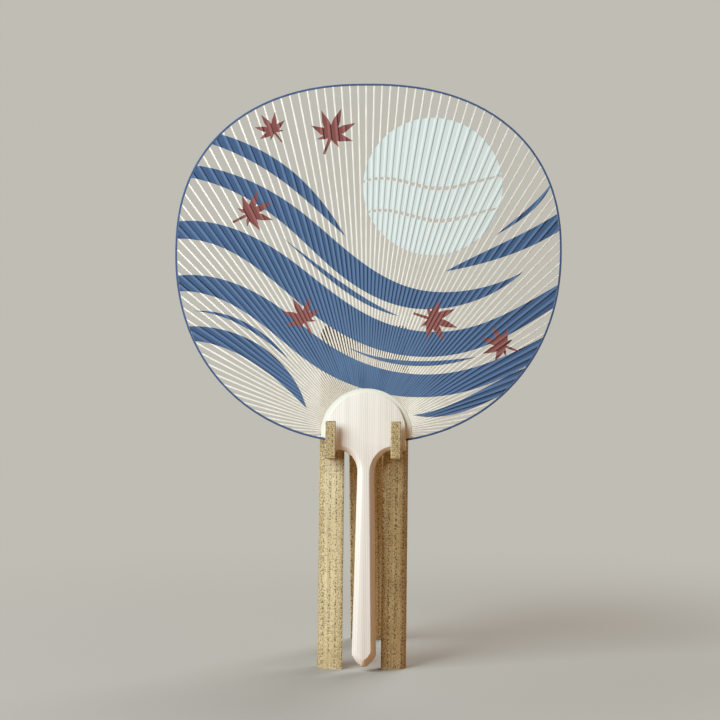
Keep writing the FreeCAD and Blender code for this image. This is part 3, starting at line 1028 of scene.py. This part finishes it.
    @staticmethod
    def thicken(piece: Piece, face: Face, thickness: float) -> None:
        """Turn a sheet's normals to its side of the fan and give it its thickness behind them.

        Args:
            piece: Sheet of no thickness.
            face: Face of the fan that it is on.
            thickness: Thickness in millimetres.
        """
        if face is Face.BACK:
            with editing(piece):
                bpy.ops.mesh.select_all(action="SELECT")
                bpy.ops.mesh.flip_normals()
        make_active(piece)
        wall = piece.modifiers.new("thickness", "SOLIDIFY")
        wall.thickness = thickness * MM
        wall.offset = -1
        bpy.ops.object.modifier_apply(modifier=wall.name)


@dataclass
class RimTape:
    """Strip of indigo paper folded over the rib ends."""

    plane: FanPlane
    fold_radius: float = 0.34
    fold_steps: int = 4
    fold_angle: float = 40.0
    edge_facing: float = 0.3

    def build(self) -> None:
        """Round the fold of a copy of the tape and dress it."""
        piece = merged_copy("rim_tape", "indigo_rim_tape")
        centre = self.plane.origin
        normal = self.plane.normal
        with editing(piece):
            select_faces(piece, lambda face: abs(face.normal.dot(normal)) < self.edge_facing
                         and face.normal.dot(face.calc_center_median() - centre) > 0)
            bpy.ops.mesh.region_to_loop()
            bpy.ops.mesh.bevel(offset=self.fold_radius * MM, segments=self.fold_steps, affect="EDGES")
        make_active(piece)
        bpy.ops.object.shade_smooth_by_angle(angle=math.radians(self.fold_angle))
        piece.data.materials.append(MulberryPaper(
            "indigo paper edging", 0.85, PAPER_IOR,
            "#46628F", "#36507B", "#4E6C9A", "#36507B", "#6A87B0").build())
        settle(piece, Body.FAN, Slot.INDIGO_PAPER, "rim_tape")


@dataclass
class Handle:
    """Slotted handle of bare planed wood."""

    edge_radius: float = 0.35

    def build(self) -> None:
        """Soften a copy of the handle and dress it."""
        piece = merged_copy("handle", "cypress_handle")
        soften(piece, self.edge_radius)
        piece.data.materials.append(PlanedCypress("planed cypress", 0.55, WOOD_IOR, STAND_LEAN).build())
        settle(piece, Body.FAN, Slot.HANDLE_WOOD, "handle")


@dataclass
class Stand:
    """Folding easel of split speckled bamboo: board, rear leg, hooks and hinge pin."""

    middle: float = field(init=False)
    leg_middle: float = 20.55
    leg_half: float = 7.95
    rear_half: float = 10.8
    hook_half: float = 3.3
    leg_share: float = 0.40
    lip_share: float = 1.0
    leg_rows: float = 4.3
    lip_rows: float = 2.2
    edge_radius: float = 0.4
    skin_facing: float = 0.6

    def __post_init__(self) -> None:
        """Read the stand's middle line from its board."""
        low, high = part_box("stand_board")
        self.middle = (low.x + high.x) / 2 / MM

    def build(self) -> None:
        """Make every piece of the stand."""
        rear_lean = STAND_LEAN - REAR_LEG_OPENING
        self.strip("stand_board", "speckled_board", Body.STAND, STAND_LEAN,
                   self.leg_middle, self.leg_half, self.leg_share, self.leg_rows)
        self.strip("rear_leg", "speckled_rear_leg", Body.REAR_LEG, rear_lean,
                   0.0, self.rear_half, self.leg_share, self.leg_rows)
        low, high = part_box("hook_lip_right")
        hook_middle = (low.x + high.x) / 2 / MM - self.middle
        for word in ("left", "right"):
            self.strip("hook_lip_" + word, "speckled_lip_" + word, Body.STAND, STAND_LEAN,
                       hook_middle, self.hook_half, self.lip_share, self.lip_rows)
        flesh = SplitBambooFlesh("scraped bamboo arm", 0.6, BAMBOO_IOR, STAND_LEAN, self.middle).build()
        for word in ("left", "right"):
            piece = merged_copy("hook_arm_" + word, "bamboo_arm_" + word)
            soften(piece, self.edge_radius)
            piece.data.materials.append(flesh)
            settle(piece, Body.STAND, Slot.PLAIN_BAMBOO, "hook_arm_" + word)
        pin = frame["nodes"]["hinge_pin"]
        pin.data.materials.clear()
        pin.data.materials.append(flesh)

    def strip(self, node: str, name: str, body: Body, lean: float, strip_middle: float,
              strip_half: float, middle_share: float, row_pitch: float) -> None:
        """Soften a copy of one split strip, with its skin in front and its flesh on the cut sides.

        Args:
            node: CAD node of the strip.
            name: Name of the new piece.
            body: Body that it rides on.
            lean: How far it leans back, in degrees.
            strip_middle: Distance of the strip's middle from the stand's, in millimetres.
            strip_half: Half of the strip's width in millimetres.
            middle_share: Share of the fine specks that show along the strip's middle.
            row_pitch: Distance between its rows of large specks, in millimetres.
        """
        piece = merged_copy(node, name)
        soften(piece, self.edge_radius)
        skin = SpeckledBambooSkin("speckled bamboo skin " + node, 0.5, BAMBOO_IOR, lean, self.middle,
                                  strip_middle, strip_half, middle_share, row_pitch)
        flesh = SplitBambooFlesh("split bamboo flesh " + node, 0.65, BAMBOO_IOR, lean, self.middle)
        piece.data.materials.append(skin.build())
        piece.data.materials.append(flesh.build())
        front = Vector((0, -1, 0))
        front.rotate(Euler((-math.radians(lean), 0, 0)))
        for polygon in piece.data.polygons:
            polygon.material_index = 0 if polygon.normal.dot(front) > self.skin_facing else 1
        settle(piece, body, Slot.SPECKLED_BAMBOO, node)


@dataclass
class Studio:
    """Floor, light and camera.

    The floor is plain and pale. One broad soft lamp hangs in front to the left and one behind to the
    right, and a weak warm fill comes from all round, less of it from the right.
    """

    azimuth: float = 1.646
    elevation: float = 9.197
    roll: float = 0.137
    distance: float = 6.0
    view_angle: float = 4.4317
    aim: tuple[float, float, float] = (-4.50, 0.0, 193.51)
    backdrop: str = "#BFBDB4"
    floor: str = "#A8A69F"
    floor_bounce: str = "#9C6C3A"
    fill: str = "#FFB86C"
    fill_left: float = 0.29
    fill_right: float = 0.20
    lamp_distance: float = 1.8
    key_place: tuple[float, float] = (-54.0, 33.0)
    key_size: float = 1.4
    key_power: float = 49.0
    key_colour: str = "#E7F7FF"
    back_place: tuple[float, float] = (152.0, 26.0)
    back_size: float = 1.2
    back_power: float = 36.0
    back_colour: str = "#F4FAFF"
    floor_radius: float = 9.0
    floor_corners: int = 96
    floor_roughness: float = 0.95
    fade_span: tuple[float, float] = (0.16, 0.45)
    sight: float = 50.0

    def build(self) -> None:
        """Set up the floor, the light and the camera."""
        bpy.context.scene.view_settings.view_transform = "Standard"
        self.make_floor()
        self.make_world()
        self.make_lamp("key soft box", self.key_place, self.key_size, self.key_power,
                       self.key_colour)
        self.make_lamp("back soft box", self.back_place, self.back_size, self.back_power,
                       self.back_colour)
        self.make_camera()

    @staticmethod
    def direction(azimuth: float, elevation: float) -> Vector:
        """Direction from the object at an azimuth, from its front to the right, and an elevation."""
        turn, rise = math.radians(azimuth), math.radians(elevation)
        reach = math.cos(rise)
        return Vector((math.sin(turn) * reach, -math.cos(turn) * reach, math.sin(rise)))

    @staticmethod
    def shown(tree: Tree) -> Socket:
        """Tell the rays that show a surface, straight or in a reflection, from those that only light it.

        Args:
            tree: Node tree that gets the nodes.

        Returns:
            Value socket, one for a ray of the camera, a reflection or glass.
        """
        ray = add_node(tree, "LightPath")
        glossy = add_node(tree, "Math", {"operation": "MAXIMUM"},
                          {0: ray.outputs["Is Glossy Ray"], 1: ray.outputs["Is Transmission Ray"]})
        return add_node(tree, "Math", {"operation": "MAXIMUM"},
                        {0: ray.outputs["Is Camera Ray"], 1: glossy.outputs["Value"]}).outputs["Value"]

    def make_floor(self) -> None:
        """Lay the floor, which takes the object's shadow and fades to an even backdrop further out."""
        bpy.ops.object.select_all(action="DESELECT")
        bpy.ops.mesh.primitive_circle_add(
            vertices=self.floor_corners, radius=self.floor_radius, fill_type="NGON")
        floor = bpy.context.object
        floor.name = "studio_floor"
        material = bpy.data.materials.new("matt studio paper")
        material.use_nodes = True
        tree = material.node_tree
        shader = tree.nodes["Principled BSDF"]
        shader.inputs["Roughness"].default_value = self.floor_roughness
        shader.inputs["Specular IOR Level"].default_value = 0.0
        coordinates = add_node(tree, "TexCoord")
        reach = add_node(tree, "VectorMath", {"operation": "LENGTH"}, {0: coordinates.outputs["Object"]})
        far = add_node(tree, "MapRange", {
            "interpolation_type": "SMOOTHSTEP", **dict(zip(SPAN, self.fade_span)),
        }, {"Value": reach.outputs["Value"]})
        shown = self.shown(tree)
        tone = add_node(tree, "Mix", {
            "data_type": "RGBA", MIX_A: linear(self.floor_bounce), MIX_B: linear(self.floor),
        }, {MIX_FACTOR: shown})
        tree.links.new(tone.outputs[MIX_RESULT], shader.inputs["Base Color"])
        seen = add_node(tree, "Math", {"operation": "MULTIPLY"}, {0: far.outputs["Result"], 1: shown})
        even = add_node(tree, "Emission", {"Color": linear(self.backdrop), "Strength": 1.0})
        mixed = add_node(tree, "MixShader", {}, {
            0: seen.outputs["Value"], 1: shader.outputs["BSDF"], 2: even.outputs["Emission"]})
        tree.links.new(mixed.outputs["Shader"], tree.nodes["Material Output"].inputs["Surface"])
        floor.data.materials.append(material)

    def make_world(self) -> None:
        """Give the room a weak warm fill from the left, with the even backdrop where it is seen."""
        world = bpy.data.worlds.new("studio room")
        bpy.context.scene.world = world
        world.use_nodes = True
        tree = world.node_tree
        light = tree.nodes["Background"]
        light.inputs["Color"].default_value = linear(self.fill)
        coordinates = add_node(tree, "TexCoord")
        side = add_node(tree, "SeparateXYZ", {}, {"Vector": coordinates.outputs["Generated"]})
        fading = add_node(tree, "MapRange", {
            "From Min": -1.0, "From Max": 1.0, "To Min": self.fill_left, "To Max": self.fill_right,
        }, {"Value": side.outputs["X"]})
        tree.links.new(fading.outputs["Result"], light.inputs["Strength"])
        even = add_node(tree, "Background", {"Color": linear(self.backdrop), "Strength": 1.0})
        mixed = add_node(tree, "MixShader", {}, {
            0: self.shown(tree), 1: light.outputs["Background"], 2: even.outputs["Background"]})
        tree.links.new(mixed.outputs["Shader"], tree.nodes["World Output"].inputs["Surface"])

    def make_lamp(self, name: str, place: tuple[float, float], size: float, power: float,
                  colour: str) -> None:
        """Hang one broad lamp above the fan's height, turned to it.

        Args:
            name: Name of the lamp.
            place: Its azimuth and elevation from the object, in degrees.
            size: Side of its square in metres.
            power: Its power in watts.
            colour: Colour of its light.
        """
        lamp = bpy.data.lights.new(name, "AREA")
        lamp.shape = "SQUARE"
        lamp.size = size
        lamp.energy = power
        lamp.color = linear(colour)[:3]
        holder = add_object(name, lamp)
        towards = self.direction(*place)
        holder.location = Vector(self.aim) * MM + towards * self.lamp_distance
        holder.rotation_euler = towards.to_track_quat("Z", "Y").to_euler()

    def make_camera(self) -> None:
        """Stand the camera a long way off, as the photograph's long lens does."""
        lens = bpy.data.cameras.new("long lens")
        lens.sensor_fit = "HORIZONTAL"
        lens.angle = math.radians(self.view_angle)
        lens.clip_end = self.sight
        camera = add_object("camera", lens)
        towards = self.direction(self.azimuth, self.elevation)
        camera.location = Vector(self.aim) * MM + towards * self.distance
        turn = towards.to_track_quat("Z", "Y").to_matrix()
        turn = turn @ Euler((0, 0, math.radians(self.roll))).to_matrix()
        camera.rotation_euler = turn.to_euler()
        bpy.context.scene.camera = camera


def main() -> None:
    """Build the fan, the stand and the studio in order."""
    logging.basicConfig(level=logging.INFO, format="%(name)s: %(message)s")
    plane = FanPlane.from_frame()
    ribs = Ribs(plane)
    ribs.build()
    FacePapers(plane, ribs.lines).build()
    RimTape(plane).build()
    Handle().build()
    Stand().build()
    Studio().build()


if __name__ == "__main__":
    main()
